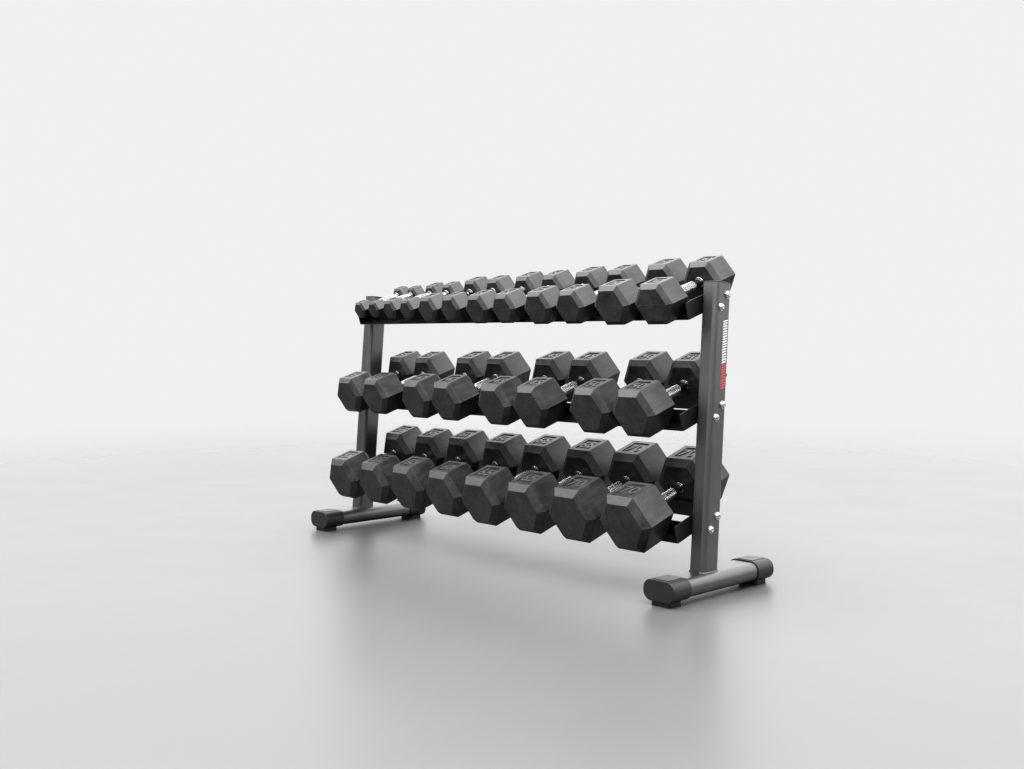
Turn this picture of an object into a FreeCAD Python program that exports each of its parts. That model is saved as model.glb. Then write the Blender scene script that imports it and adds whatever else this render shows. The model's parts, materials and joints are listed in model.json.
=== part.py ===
import FreeCAD, Part
import math
import os
import Sketcher

# A free-standing dumbbell rack: two uprights lean back from two foot tubes and carry three
# sloping shelves of angle rail, loaded with fourteen pairs of hexagonal dumbbells.
# Millimetres. X runs along the shelves, -Y is the side a person stands on, +Z is up.
# The origin is on the floor, in the middle of the loaded rack's length and depth.

doc = FreeCAD.newDocument("dumbbell_rack")

# ---------------------------------------------------------------- driving dimensions

sizes = {
    # foot tubes, end caps and pads
    "footSetback": 11,
    "footTubeLength": 418,
    "footTubeWidth": 90,
    "footTubeHeight": 47,
    "footTubeSide": 5,
    "footTubeWall": 2.5,
    "capReach": 65,
    "capEnd": 5,
    "capWall": 2.8,
    "capClearance": 0.2,
    "capEdge": 2,
    "treadMargin": 7,
    "treadRise": 1.2,
    "padWidth": 60,
    "padLength": 50,
    "padHeight": 12,
    "padCorner": 9,
    "padInset": 6,
    "padScrewWidth": 5,
    "padScrewHeadWidth": 10,
    "padScrewHeadHeight": 3,
    "padScrewSink": 7,
    "padScrewTip": 6,
    "padScrewClearance": 0.3,
    # uprights and their plugs
    "uprightWidth": 50,
    "uprightDepth": 65,
    "uprightCorner": 14,
    "uprightWall": 2.5,
    "uprightLength": 736,
    "uprightLean": 4.5,
    "uprightSetback": 32,
    "plugThickness": 3,
    "plugInsert": 16,
    "plugWall": 2,
    "plugClearance": 0.2,
    "plugEdge": 1.5,
    # shelves: bracket plates and angle rails
    "lowestShelf": 186,
    "topShelfDrop": 46,
    "shelfTilt": 17.6,
    "bracketRise": 2,
    "bracketThickness": 4,
    "bracketCorner": 3,
    "railFlange": 39,
    "railLip": 43,
    "railThickness": 3,
    "railBend": 2,
    "lipClearance": 1.5,
    # bolts through upright and bracket
    "boltWidth": 10,
    "boltClearance": 0.5,
    "boltAlong": 18,
    "boltRise": 11,
    "boltHeadWidth": 18,
    "boltHeadHeight": 6.5,
    "boltSocketWidth": 6,
    "boltSocketDepth": 3,
    "boltTip": 3,
    "washerWidth": 21,
    "washerThickness": 2,
    "nutFlats": 16,
    "nutHeight": 8,
    # dumbbells
    "gripGap": 127,
    "gripWidth": 28,
    "neckWidth": 23,
    "neckLength": 15.5,
    "neckTaper": 8,
    "collarWidth": 31,
    "collarLength": 5,
    "socketDepth": 30,
    "restGap": 0.4,
    "setGap": 10.5,
}

# Each pair: weight name, width across the head's flats, head length, bevel of the head's ends.
pairs = [
    ("05", 54, 47, 7),
    ("10", 63, 59, 8),
    ("15", 82, 71, 10),
    ("20", 88, 83, 11),
    ("25", 95, 86, 11),
    ("30", 108, 89, 12),
    ("35", 119, 98, 13),
    ("40", 121, 103, 13),
    ("45", 123, 107, 14),
    ("50", 126, 108, 14),
    ("55", 137, 111, 16),
    ("60", 143, 112, 16),
    ("65", 145, 123, 17),
    ("70", 149, 124, 17),
]
for weight, flats, length, bevel in pairs:
    sizes["headFlats" + weight] = flats
    sizes["headLength" + weight] = length
    sizes["headBevel" + weight] = bevel

# Each shelf: its name, the weights on it from left to right, the free space at its left and its
# right end, and the space between the two of a pair.
shelves = [
    ("Bottom", ["55", "60", "65", "70"], 5.5, 4.5, 12),
    ("Middle", ["35", "40", "45", "50"], 1, 22, 7),
    ("Top", ["05", "10", "15", "20", "25", "30"], 5, 1.5, 16),
]
for shelf, weights, left, right, between in shelves:
    sizes["leftSpace" + shelf] = left
    sizes["rightSpace" + shelf] = right
    sizes["pairGap" + shelf] = between

sheet = doc.addObject("Spreadsheet::Sheet", "dims")
for row, (name, number) in enumerate(sizes.items(), 1):
    sheet.set(f"A{row}", name)
    sheet.set(f"B{row}", str(number))
    sheet.setAlias(f"B{row}", name)
doc.recompute()

# ---------------------------------------------------------------- sizes that follow from those


def rowLength(shelf, weights):
    """Formula for the length of a shelf's row, apart from the spaces between its pairs."""
    heads = " + ".join(f"dims.headFlats{weight}" for weight in weights)
    return (f"2 * ({heads}) / cos(30) + {len(weights)} * dims.pairGap{shelf}"
            f" + dims.leftSpace{shelf} + dims.rightSpace{shelf}")


layout = doc.addObject("App::VarSet", "layout")
followers = {
    "footTubeCorner": "(dims.footTubeHeight - dims.footTubeSide) / 2",
    "footMiddle": "dims.padHeight + dims.capWall + dims.capClearance + dims.footTubeHeight / 2",
    "footTop": "layout.footMiddle + dims.footTubeHeight / 2",
    # the longest row, with the least space between its pairs, sets how far apart the uprights are
    "shelfLength": "max(" + "; ".join(
        f"{rowLength(shelf, weights)} + {len(weights) - 1} * dims.setGap"
        for shelf, weights, *_ in shelves) + ")",
    "uprightSpacing": "layout.shelfLength + dims.uprightWidth",
    "shelfPitch": "(layout.footTop + dims.uprightLength * cos(dims.uprightLean)"
                  f" - dims.topShelfDrop - dims.lowestShelf) / {len(shelves) - 1}",
    # the rails' lips stand just inside the collars, so that the heads lie on the flanges
    "lipSpan": "dims.gripGap - 2 * (dims.collarLength + dims.lipClearance)",
    "shelfDepth": "layout.lipSpan + 2 * (dims.railFlange - dims.railThickness)",
    "bracketHeight": "dims.railLip + dims.bracketRise",
    "neckStart": "dims.gripGap / 2 - dims.collarLength - dims.neckLength",
}
for name, formula in followers.items():
    layout.addProperty("App::PropertyFloat", name, "Layout")
    layout.setExpression(name, formula)
doc.recompute()

sides = {"left": -1, "right": 1}
ends = {"front": -1, "rear": 1}


def value(formula):
    """The number that a formula on the sheet's names gives."""
    return float(sheet.evalExpression(formula))


def bind(thing, **formulas):
    """Tie properties of a feature to formulas; a double underscore stands for a dot."""
    for prop, formula in formulas.items():
        thing.setExpression(prop.replace("__", "."), formula)
    return thing


def turned(x, y, z, degrees=0.0, axis=(1, 0, 0)):
    """A placement at x, y, z, turned about an axis through that point."""
    return FreeCAD.Placement(
        FreeCAD.Vector(x, y, z), FreeCAD.Rotation(FreeCAD.Vector(*axis), degrees)
    )


# ---------------------------------------------------------------- sketch and feature helpers

def newBody(name):
    return doc.addObject("PartDesign::Body", name)


def newSketch(body, role, name):
    """An empty sketch on one of the body's own origin planes."""
    plane = next(f for f in body.Origin.OriginFeatures if f.Role == role)
    sketch = body.newObject("Sketcher::SketchObject", name)
    sketch.AttachmentSupport = [(plane, "")]
    sketch.MapMode = "FlatFace"
    return sketch


def holdPoint(sketch, line, end, across, up):
    """Fix one end of a line at two formulas from the sketch's origin."""
    for kind, axis, formula in (("DistanceX", -2, across), ("DistanceY", -1, up)):
        if formula == "0":
            sketch.addConstraint(Sketcher.Constraint("PointOnObject", line, end, axis))
            continue
        number = value(formula)
        index = sketch.addConstraint(Sketcher.Constraint(kind, -1, 1, line, end, number))
        sketch.setExpression(f"Constraints[{index}]", formula)


def outline(sketch, points):
    """A closed polygon through points that are each given as two formulas."""
    corners = [FreeCAD.Vector(value(across), value(up), 0) for across, up in points]
    first = sketch.GeometryCount
    count = len(points)
    for i in range(count):
        sketch.addGeometry(Part.LineSegment(corners[i], corners[(i + 1) % count]))
    for i in range(count):
        after = first + (i + 1) % count
        sketch.addConstraint(Sketcher.Constraint("Coincident", first + i, 2, after, 1))
    for i, (across, up) in enumerate(points):
        holdPoint(sketch, first + i, 1, across, up)


def roundedRectangle(sketch, width, height, corner):
    """A rectangle with rounded corners, centred on the sketch's origin."""
    w, h, r = value(width) / 2, value(height) / 2, value(corner)
    z = FreeCAD.Vector(0, 0, 1)
    a = sketch.GeometryCount
    lines = [((r - w, -h), (w - r, -h)), ((w, r - h), (w, h - r)),
             ((w - r, h), (r - w, h)), ((-w, h - r), (-w, r - h))]
    for start, stop in lines:
        sketch.addGeometry(Part.LineSegment(FreeCAD.Vector(*start, 0), FreeCAD.Vector(*stop, 0)))
    centres = [(w - r, r - h, -90), (w - r, h - r, 0), (r - w, h - r, 90), (r - w, r - h, 180)]
    for x, y, start in centres:
        circle = Part.Circle(FreeCAD.Vector(x, y, 0), z, r)
        arc = Part.ArcOfCircle(circle, math.radians(start), math.radians(start + 90))
        sketch.addGeometry(arc)
    for i in range(4):
        sketch.addConstraint(Sketcher.Constraint("Tangent", a + i, 2, a + 4 + i, 1))
        sketch.addConstraint(Sketcher.Constraint("Tangent", a + 4 + i, 2, a + (i + 1) % 4, 1))
    for line, kind in ((0, "Horizontal"), (2, "Horizontal"), (1, "Vertical"), (3, "Vertical")):
        sketch.addConstraint(Sketcher.Constraint(kind, a + line))
    for i in range(1, 4):
        sketch.addConstraint(Sketcher.Constraint("Equal", a + 4, a + 4 + i))
    sketch.addConstraint(Sketcher.Constraint("Symmetric", a, 1, a + 2, 1, -1, 1))
    driven = [
        (Sketcher.Constraint("DistanceX", a + 3, 1, a + 1, 1, 2 * w), width),
        (Sketcher.Constraint("DistanceY", a, 1, a + 2, 1, 2 * h), height),
        (Sketcher.Constraint("Radius", a + 4, r), corner),
    ]
    for constraint, formula in driven:
        index = sketch.addConstraint(constraint)
        sketch.setExpression(f"Constraints[{index}]", formula)


def hole(sketch, across, up, radius):
    """A circle whose centre and radius follow formulas."""
    centre = FreeCAD.Vector(value(across), value(up), 0)
    circle = Part.Circle(centre, FreeCAD.Vector(0, 0, 1), value(radius))
    line = sketch.addGeometry(circle)
    holdPoint(sketch, line, 3, across, up)
    index = sketch.addConstraint(Sketcher.Constraint("Radius", line, value(radius)))
    sketch.setExpression(f"Constraints[{index}]", radius)


def pad(body, sketch, name, length):
    feature = body.newObject("PartDesign::Pad", name)
    feature.Profile = sketch
    return bind(feature, Length=length)


def facesFacing(feature, direction):
    """Names of a feature's flat faces whose outward normal is the given direction."""
    names = []
    for number, face in enumerate(feature.Shape.Faces, 1):
        if face.Surface.TypeId != "Part::GeomPlane":
            continue
        if face.normalAt(0, 0).dot(FreeCAD.Vector(*direction)) > 0.999:
            names.append(f"Face{number}")
    return names


def edgesAlongX(feature, y, z):
    """Names of the edges that run along X through a given y and z."""
    names = []
    for number, edge in enumerate(feature.Shape.Edges, 1):
        points = [vertex.Point for vertex in edge.Vertexes]
        if len(points) == 2 and all(math.hypot(p.y - y, p.z - z) < 0.01 for p in points):
            names.append(f"Edge{number}")
    return names


def finish(body, kind, name, base, faces, size):
    """A fillet or a chamfer on faces or edges of a feature."""
    feature = body.newObject("PartDesign::" + kind, name)
    feature.Base = (base, faces)
    return bind(feature, **{("Radius" if kind == "Fillet" else "Size"): size})


def cut(name, base, tools):
    """The base with tools taken out of it."""
    joined = tools[0]
    if len(tools) > 1:
        joined = doc.addObject("Part::MultiFuse", name + "_tools")
        joined.Shapes = tools
    result = doc.addObject("Part::Cut", name)
    result.Base = base
    result.Tool = joined
    return result


def cylinder(name, width, height, place):
    rod = doc.addObject("Part::Cylinder", name)
    bind(rod, Radius=f"({width}) / 2", Height=height)
    rod.Placement = place
    return rod


def mirrored(name, source, normal):
    copy = doc.addObject("Part::Mirroring", name)
    copy.Source = source
    copy.Normal = FreeCAD.Vector(*normal)
    return copy


nodes = []


def node(label, pieces, place):
    """A named sub-part: finished pieces set at their place in the rack."""
    part = doc.addObject("Part::Compound", label)
    part.Links = pieces
    part.Placement = place
    nodes.append(part)
    return part


def group(label, piece, places):
    """One node that holds a separate solid for each place of a repeated fastener."""
    doc.recompute()
    part = doc.addObject("Part::Feature", label)
    solids = []
    for place in places:
        solid = piece.Shape.copy()
        solid.Placement = place.multiply(solid.Placement)
        solids.append(solid)
    part.Shape = Part.Compound(solids)
    nodes.append(part)
    return part


# ---------------------------------------------------------------- places worked out from the sizes

footTop = value("layout.footTop")
halfSpacing = value("layout.uprightSpacing / 2")
lean = value("dims.uprightLean")
tilt = value("dims.shelfTilt")


def footPlace(side):
    """The point on the floor under the middle of a foot tube."""
    return turned(side * halfSpacing, value("dims.footSetback"), 0)


def uprightPlace(side):
    """The foot of an upright's axis, with its own Z running up the tube."""
    y = value("dims.footSetback - dims.uprightSetback")
    return turned(side * halfSpacing, y, footTop, -lean)


def shelfPlace(level, x=0.0):
    """A shelf's middle, on the uprights' axes: its own Y runs back and up, its Z square to that."""
    z = value(f"dims.lowestShelf + {level} * layout.shelfPitch")
    start = value("dims.footSetback - dims.uprightSetback")
    return turned(x, start + (z - footTop) * math.tan(math.radians(lean)), z, tilt)


def boltSpots():
    """Across and up of the bolts that hold one bracket, from the shelf's middle."""
    along, rise = value("dims.boltAlong"), value("dims.boltRise")
    return [(-along, -rise), (along, rise)]


# ---------------------------------------------------------------- foot tube, cap, pad and screw

def footTubeSolid():
    """A flat oval tube that lies along Y, its middle over the foot's origin."""
    body = newBody("foot_tube_blank")
    sketch = newSketch(body, "XZ_Plane", "foot_tube_section")
    roundedRectangle(sketch, "dims.footTubeWidth", "dims.footTubeHeight", "layout.footTubeCorner")
    roundedRectangle(
        sketch,
        "dims.footTubeWidth - 2 * dims.footTubeWall",
        "dims.footTubeHeight - 2 * dims.footTubeWall",
        "layout.footTubeCorner - dims.footTubeWall",
    )
    pad(body, sketch, "foot_tube_length", "dims.footTubeLength")
    bind(
        body,
        Placement__Base__y="dims.footTubeLength / 2",
        Placement__Base__z="layout.footMiddle",
    )
    return body


def screwPlace(end):
    """The middle of a pad, at floor level, from the foot's origin."""
    y = value("dims.footTubeLength / 2 + dims.capEnd - dims.padInset - dims.padLength / 2")
    return turned(0, end * y, 0)


def screwHole(name, end, width, height):
    return cylinder(name, width, height, screwPlace(end))


def footCapSolid():
    """The front end cap, a sleeve over the tube with a closed front end and a raised tread."""
    body = newBody("foot_cap_blank")
    outer = newSketch(body, "XZ_Plane", "foot_cap_outside")
    grow = "2 * (dims.capWall + dims.capClearance)"
    roundedRectangle(
        outer,
        f"dims.footTubeWidth + {grow}",
        f"dims.footTubeHeight + {grow}",
        "layout.footTubeCorner + dims.capWall + dims.capClearance",
    )
    whole = pad(body, outer, "foot_cap_length", "dims.capReach + dims.capEnd")
    whole.Reversed = True
    doc.recompute()
    edge = finish(body, "Fillet", "foot_cap_edge", whole, facesFacing(whole, (0, -1, 0)),
                  "dims.capEdge")
    inner = newSketch(body, "XZ_Plane", "foot_cap_inside")
    inner.AttachmentOffset = turned(0, 0, 0)
    bind(inner, AttachmentOffset__Base__z="-dims.capEnd")
    roundedRectangle(
        inner,
        "dims.footTubeWidth + 2 * dims.capClearance",
        "dims.footTubeHeight + 2 * dims.capClearance",
        "layout.footTubeCorner + dims.capClearance",
    )
    hollow = body.newObject("PartDesign::Pocket", "foot_cap_hollow")
    hollow.Profile = inner
    hollow.Type = "Length"
    bind(hollow, Length="dims.capReach")
    tread = body.newObject("PartDesign::AdditiveBox", "foot_cap_tread")
    bind(
        tread,
        Length="dims.footTubeWidth - 2 * layout.footTubeCorner",
        Width="dims.capReach + dims.capEnd - 2 * dims.treadMargin",
        Height="dims.capWall / 2 + dims.treadRise",
        Placement__Base__x="layout.footTubeCorner - dims.footTubeWidth / 2",
        Placement__Base__y="dims.treadMargin",
        Placement__Base__z="dims.footTubeHeight / 2 + dims.capClearance + dims.capWall / 2",
    )
    doc.recompute()
    checkVolume(edge, hollow, -1)
    bind(
        body,
        Placement__Base__y="-dims.footTubeLength / 2 - dims.capEnd",
        Placement__Base__z="layout.footMiddle",
    )
    return body


def checkVolume(before, after, sign):
    """Stop if a feature that should add (1) or remove (-1) material did nothing."""
    if (after.Shape.Volume - before.Shape.Volume) * sign <= 0:
        raise RuntimeError(after.Label + " changed nothing")


def padSolid():
    """The front pad, a rounded block under the cap with a sunk hole for its screw."""
    body = newBody("foot_pad_blank")
    sketch = newSketch(body, "XY_Plane", "foot_pad_outline")
    roundedRectangle(sketch, "dims.padWidth", "dims.padLength", "dims.padCorner")
    pad(body, sketch, "foot_pad_height", "dims.padHeight")
    body.Placement = screwPlace(-1)
    return body


def padScrewSolid():
    """A pan-head screw whose axis is Z, with the head's underside at the sunk depth."""
    head = cylinder("pad_screw_head", "dims.padScrewHeadWidth", "dims.padScrewHeadHeight",
                    turned(0, 0, 0))
    bind(head, Placement__Base__z="dims.padScrewSink - dims.padScrewHeadHeight")
    shank = cylinder("pad_screw_shank", "dims.padScrewWidth",
                     "dims.padHeight + dims.capWall + dims.capClearance + dims.footTubeWall"
                     " + dims.padScrewTip - dims.padScrewSink", turned(0, 0, 0))
    bind(shank, Placement__Base__z="dims.padScrewSink")
    screw = doc.addObject("Part::Fuse", "pad_screw")
    screw.Base = head
    screw.Tool = shank
    return screw


def buildFeet():
    """Foot tubes, their end caps, the pads and the screws that hold them together."""
    through = "dims.padHeight + dims.footTubeHeight / 2"
    shankHole = "dims.padScrewWidth + 2 * dims.padScrewClearance"
    headHole = "dims.padScrewHeadWidth + 2 * dims.padScrewClearance"
    drills = {
        name: screwHole("screw_hole_" + name, end, shankHole, through)
        for name, end in ends.items()
    }
    sink = screwHole("screw_sink", -1, headHole, "dims.padScrewSink")
    tube = cut("foot_tube_master", footTubeSolid(), list(drills.values()))
    frontCap = cut("foot_cap_master", footCapSolid(), [drills["front"]])
    frontPad = cut("foot_pad_master", padSolid(), [drills["front"], sink])
    caps = {"front": frontCap, "rear": mirrored("foot_cap_rear_master", frontCap, (0, 1, 0))}
    pads = {"front": frontPad, "rear": mirrored("foot_pad_rear_master", frontPad, (0, 1, 0))}
    for sideName, side in sides.items():
        node("foot_tube_" + sideName, [tube], footPlace(side))
        for endName in ends:
            node(f"foot_cap_{endName}_{sideName}", [caps[endName]], footPlace(side))
            node(f"foot_pad_{endName}_{sideName}", [pads[endName]], footPlace(side))
    places = [
        footPlace(side).multiply(screwPlace(end))
        for side in sides.values() for end in ends.values()
    ]
    group("foot_pad_screws", padScrewSolid(), places)


# ---------------------------------------------------------------- uprights and plugs

def uprightSolid():
    """A rounded tube along Z, cut level where it stands on the foot and drilled for the shelves."""
    body = newBody("upright_blank")
    sketch = newSketch(body, "XY_Plane", "upright_section")
    drop = "dims.uprightDepth / 2 * tan(dims.uprightLean)"
    bind(sketch, AttachmentOffset__Base__z=f"-{drop}")
    roundedRectangle(sketch, "dims.uprightWidth", "dims.uprightDepth", "dims.uprightCorner")
    roundedRectangle(
        sketch,
        "dims.uprightWidth - 2 * dims.uprightWall",
        "dims.uprightDepth - 2 * dims.uprightWall",
        "dims.uprightCorner - dims.uprightWall",
    )
    pad(body, sketch, "upright_tube", f"dims.uprightLength + {drop}")
    waste = doc.addObject("Part::Box", "upright_waste")
    bind(waste, Length="2 * dims.uprightWidth", Width="2 * dims.uprightDepth",
         Height="dims.uprightDepth")
    level = turned(0, 0, 0, lean)
    corner = turned(-value("dims.uprightWidth"), -value("dims.uprightDepth"),
                    -value("dims.uprightDepth"))
    waste.Placement = level.multiply(corner)
    drills = [waste]
    for level in range(len(shelves)):
        for number, (along, rise) in enumerate(boltSpots()):
            start = shelfPlace(level).multiply(turned(0, along, rise))
            start = uprightPlace(0).inverse().multiply(start)
            across = turned(-value("dims.uprightWidth"), start.Base.y, start.Base.z, 90, (0, 1, 0))
            drills.append(cylinder(
                f"bolt_hole_{level}_{number}", "dims.boltWidth + 2 * dims.boltClearance",
                "2 * dims.uprightWidth", across))
    return cut("upright_master", body, drills)


def plugSolid():
    """The plug that closes the top of an upright: a thin lid and a hollow insert."""
    body = newBody("upright_plug_master")
    lid = newSketch(body, "XY_Plane", "plug_lid")
    roundedRectangle(lid, "dims.uprightWidth", "dims.uprightDepth", "dims.uprightCorner")
    plate = pad(body, lid, "plug_plate", "dims.plugThickness")
    doc.recompute()
    finish(body, "Fillet", "plug_edge", plate, facesFacing(plate, (0, 0, 1)), "dims.plugEdge")
    skirt = newSketch(body, "XY_Plane", "plug_skirt")
    loose = "2 * (dims.uprightWall + dims.plugClearance)"
    tight = "2 * (dims.uprightWall + dims.plugClearance + dims.plugWall)"
    roundedRectangle(skirt, f"dims.uprightWidth - {loose}", f"dims.uprightDepth - {loose}",
                     "dims.uprightCorner - dims.uprightWall - dims.plugClearance")
    roundedRectangle(skirt, f"dims.uprightWidth - {tight}", f"dims.uprightDepth - {tight}",
                     "dims.uprightCorner - dims.uprightWall - dims.plugClearance - dims.plugWall")
    insert = pad(body, skirt, "plug_insert", "dims.plugInsert")
    insert.Reversed = True
    return body


def buildUprights():
    upright = uprightSolid()
    plug = plugSolid()
    for sideName, side in sides.items():
        node("upright_" + sideName, [upright], uprightPlace(side))
        top = uprightPlace(side).multiply(turned(0, 0, value("dims.uprightLength")))
        node("upright_plug_" + sideName, [plug], top)


# ---------------------------------------------------------------- shelf brackets and rails

def bracketSolid():
    """A plate along the shelf's slope, centred on its middle, with its outer face at x = 0."""
    body = newBody("bracket_master")
    sketch = newSketch(body, "YZ_Plane", "bracket_outline")
    roundedRectangle(sketch, "layout.shelfDepth", "layout.bracketHeight", "dims.bracketCorner")
    radius = "dims.boltWidth / 2 + dims.boltClearance"
    hole(sketch, "-dims.boltAlong", "-dims.boltRise", radius)
    hole(sketch, "dims.boltAlong", "dims.boltRise", radius)
    pad(body, sketch, "bracket_plate", "dims.bracketThickness")
    return body


def railSolid():
    """The front rail: a flange with its lip at the back, and a rounded bend between them."""
    body = newBody("rail_front_master")
    sketch = newSketch(body, "YZ_Plane", "rail_section")
    outline(sketch, [
        ("0", "0"),
        ("dims.railFlange", "0"),
        ("dims.railFlange", "dims.railLip"),
        ("dims.railFlange - dims.railThickness", "dims.railLip"),
        ("dims.railFlange - dims.railThickness", "dims.railThickness"),
        ("0", "dims.railThickness"),
    ])
    length = "layout.shelfLength - 2 * dims.bracketThickness"
    whole = pad(body, sketch, "rail_length", length)
    doc.recompute()
    flange, thick = value("dims.railFlange"), value("dims.railThickness")
    outer = finish(body, "Fillet", "rail_outer_bend", whole, edgesAlongX(whole, flange, 0),
                   "dims.railBend + dims.railThickness")
    doc.recompute()
    finish(body, "Fillet", "rail_inner_bend", outer, edgesAlongX(outer, flange - thick, thick),
           "dims.railBend")
    bind(
        body,
        Placement__Base__x=f"-({length}) / 2",
        Placement__Base__y="-layout.shelfDepth / 2",
        Placement__Base__z="-layout.bracketHeight / 2",
    )
    return body


def buildShelves():
    """Three shelves, each of two rails between two bracket plates."""
    plate = bracketSolid()
    plates = {-1: plate, 1: mirrored("bracket_right_master", plate, (1, 0, 0))}
    rail = railSolid()
    rails = {"front": rail, "rear": mirrored("rail_rear_master", rail, (0, 1, 0))}
    inner = value("layout.shelfLength / 2")
    for level, (shelf, *_) in enumerate(shelves):
        name = shelf.lower()
        for sideName, side in sides.items():
            node(f"bracket_{name}_{sideName}", [plates[side]], shelfPlace(level, side * inner))
        for endName in ends:
            node(f"rail_{name}_{endName}", [rails[endName]], shelfPlace(level))


# ---------------------------------------------------------------- bolts, washers and nuts

def boltSolid():
    """A domed socket bolt along +Z, with the underside of its head at z = 0."""
    dome = doc.addObject("Part::Ellipsoid", "bolt_dome")
    dome.Angle1 = 0
    bind(dome, Radius1="dims.boltHeadHeight", Radius2="dims.boltHeadWidth / 2",
         Radius3="dims.boltHeadWidth / 2")
    dome.Placement = turned(0, 0, 0, 180)
    shank = cylinder(
        "bolt_shank", "dims.boltWidth",
        "2 * dims.washerThickness + dims.uprightWidth + dims.bracketThickness"
        " + dims.nutHeight + dims.boltTip", turned(0, 0, 0))
    whole = doc.addObject("Part::Fuse", "bolt_blank")
    whole.Base = dome
    whole.Tool = shank
    socket = doc.addObject("Part::Prism", "bolt_socket")
    socket.Polygon = 6
    bind(socket, Circumradius="dims.boltSocketWidth / 2 / cos(30)",
         Height="dims.boltSocketDepth * 2",
         Placement__Base__z="-dims.boltHeadHeight - dims.boltSocketDepth")
    return cut("bolt_master", whole, [socket])


def washerSolid():
    ring = cylinder("washer_disc", "dims.washerWidth", "dims.washerThickness", turned(0, 0, 0))
    bore = cylinder("washer_bore", "dims.boltWidth + 2 * dims.boltClearance",
                    "dims.washerThickness", turned(0, 0, 0))
    return cut("washer_master", ring, [bore])


def nutSolid():
    block = doc.addObject("Part::Prism", "nut_block")
    block.Polygon = 6
    bind(block, Circumradius="dims.nutFlats / 2 / cos(30)", Height="dims.nutHeight")
    bore = cylinder("nut_bore", "dims.boltWidth", "dims.nutHeight", turned(0, 0, 0))
    return cut("nut_master", block, [bore])


def buildFasteners():
    """Every bolt starts outside an upright and ends in a nut behind the bracket plate."""
    outside = halfSpacing + value("dims.uprightWidth / 2")
    washer = value("dims.washerThickness")
    grip = value("dims.uprightWidth + dims.bracketThickness")
    stacks = {"bolts": -washer, "outer": -washer, "inner": grip, "nuts": grip + washer}
    places = {name: [] for name in stacks}
    for side in sides.values():
        for level in range(len(shelves)):
            for along, rise in boltSpots():
                spot = shelfPlace(level, side * outside).multiply(turned(0, along, rise))
                inwards = spot.multiply(turned(0, 0, 0, -90 * side, (0, 1, 0)))
                for name, depth in stacks.items():
                    places[name].append(inwards.multiply(turned(0, 0, depth)))
    group("shelf_bolts", boltSolid(), places["bolts"])
    ring = washerSolid()
    group("bolt_washers", ring, places["outer"])
    group("nut_washers", ring, places["inner"])
    group("shelf_nuts", nutSolid(), places["nuts"])


# ---------------------------------------------------------------- dumbbells

def handleSolid():
    """A steel handle along Z: thick grip, slimmer necks, a collar at each head, ends in sockets."""
    body = newBody("handle_master")
    sketch = newSketch(body, "XZ_Plane", "handle_half_profile")
    grip, neck, collar = "dims.gripWidth / 2", "dims.neckWidth / 2", "dims.collarWidth / 2"
    outline(sketch, [
        ("0", "0"),
        (grip, "0"),
        (grip, "layout.neckStart - dims.neckTaper"),
        (neck, "layout.neckStart"),
        (neck, "dims.gripGap / 2 - dims.collarLength"),
        (collar, "dims.gripGap / 2 - dims.collarLength"),
        (collar, "dims.gripGap / 2"),
        (neck, "dims.gripGap / 2"),
        (neck, "dims.gripGap / 2 + dims.socketDepth"),
        ("0", "dims.gripGap / 2 + dims.socketDepth"),
    ])
    half = body.newObject("PartDesign::Revolution", "handle_half")
    half.Profile = sketch
    half.ReferenceAxis = (sketch, ["V_Axis"])
    half.Angle = 360
    doc.recompute()
    whole = body.newObject("PartDesign::Mirrored", "handle_whole")
    whole.Originals = [half]
    whole.MirrorPlane = (next(f for f in body.Origin.OriginFeatures if f.Role == "XY_Plane"), [""])
    body.Tip = whole
    doc.recompute()
    checkVolume(half, whole, 1)
    return body


def headSolid(weight):
    """A hexagonal head with bevelled ends, its inner face square to Z at half the grip's gap."""
    body = newBody("head_" + weight)
    block = body.newObject("PartDesign::AdditivePrism", "head_block_" + weight)
    block.Polygon = 6
    bind(block, Circumradius=f"dims.headFlats{weight} / 2 / cos(30)",
         Height=f"dims.headLength{weight}")
    doc.recompute()
    endFaces = facesFacing(block, (0, 0, 1)) + facesFacing(block, (0, 0, -1))
    bevel = finish(body, "Chamfer", "head_bevel_" + weight, block, endFaces,
                   f"dims.headBevel{weight}")
    socket = body.newObject("PartDesign::SubtractiveCylinder", "head_socket_" + weight)
    bind(socket, Radius="dims.neckWidth / 2", Height="dims.socketDepth")
    doc.recompute()
    checkVolume(bevel, socket, -1)
    bind(body, Placement__Base__z="dims.gripGap / 2")
    return body


def handleHeight(weight):
    """Height of a handle's axis over the shelf's middle plane.

    The heads rest on the rails' flanges, and the smallest ones hang by their necks on the lips.
    """
    onFlange = value(f"dims.railThickness + dims.headFlats{weight} / 2")
    onLip = value("dims.railLip + dims.neckWidth / 2")
    return max(onFlange, onLip) + value("dims.restGap - layout.bracketHeight / 2")


def buildDumbbells():
    """Two dumbbells of each weight, side by side, laid across the rails."""
    handle = handleSolid()
    for level, (shelf, weights, *_) in enumerate(shelves):
        spare = value(f"layout.shelfLength - ({rowLength(shelf, weights)})")
        setGap = spare / (len(weights) - 1)
        pairGap = value("dims.pairGap" + shelf)
        edge = value(f"dims.leftSpace{shelf} - layout.shelfLength / 2")
        for weight in weights:
            width = value(f"dims.headFlats{weight} / cos(30)")
            head = headSolid(weight)
            tail = mirrored("head_rear_" + weight, head, (0, 0, 1))
            for copy in ("a", "b"):
                seat = shelfPlace(level, edge + width / 2)
                seat = seat.multiply(turned(0, 0, handleHeight(weight), 90))
                node(f"dumbbell_{weight}_{copy}", [head, tail, handle], seat)
                edge += width + (pairGap if copy == "a" else setGap)


# ---------------------------------------------------------------- build, check and write

buildFeet()
buildUprights()
buildShelves()
buildFasteners()
buildDumbbells()
doc.recompute()

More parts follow.
